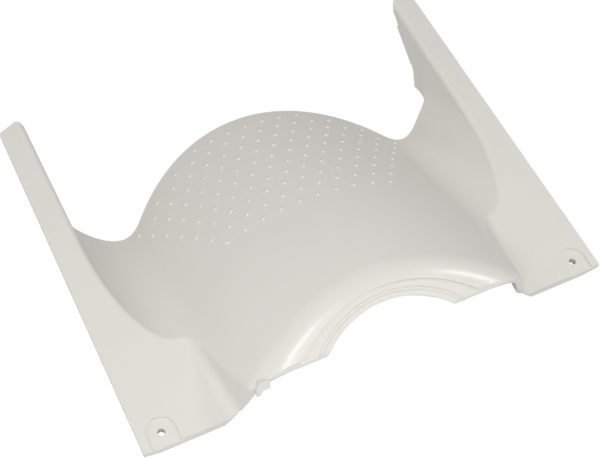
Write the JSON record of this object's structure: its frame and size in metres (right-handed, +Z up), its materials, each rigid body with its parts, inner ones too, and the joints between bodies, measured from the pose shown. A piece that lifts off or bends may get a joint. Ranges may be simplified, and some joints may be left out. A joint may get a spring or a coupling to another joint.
{
  "type": "moulded plastic housing",
  "caption": "Thin moulded housing with an arched, dotted hump between two flat wings, a stepped half-round opening in its rolled front edge, and two screw seats.",
  "frame": {"origin": "middle of the bounding box's bottom face, on the surface that the housing lies on", "axes": "+X across the wings, to the right seen from the front; +Y from the front edge to the wing tips; +Z up, out of the hump"},
  "size_m": [0.291, 0.2348, 0.0556],
  "materials": {
    "shell": "satin"
  },
  "bodies": {
    "root": {"housing_shell": "shell"}
  },
  "joints": []
}
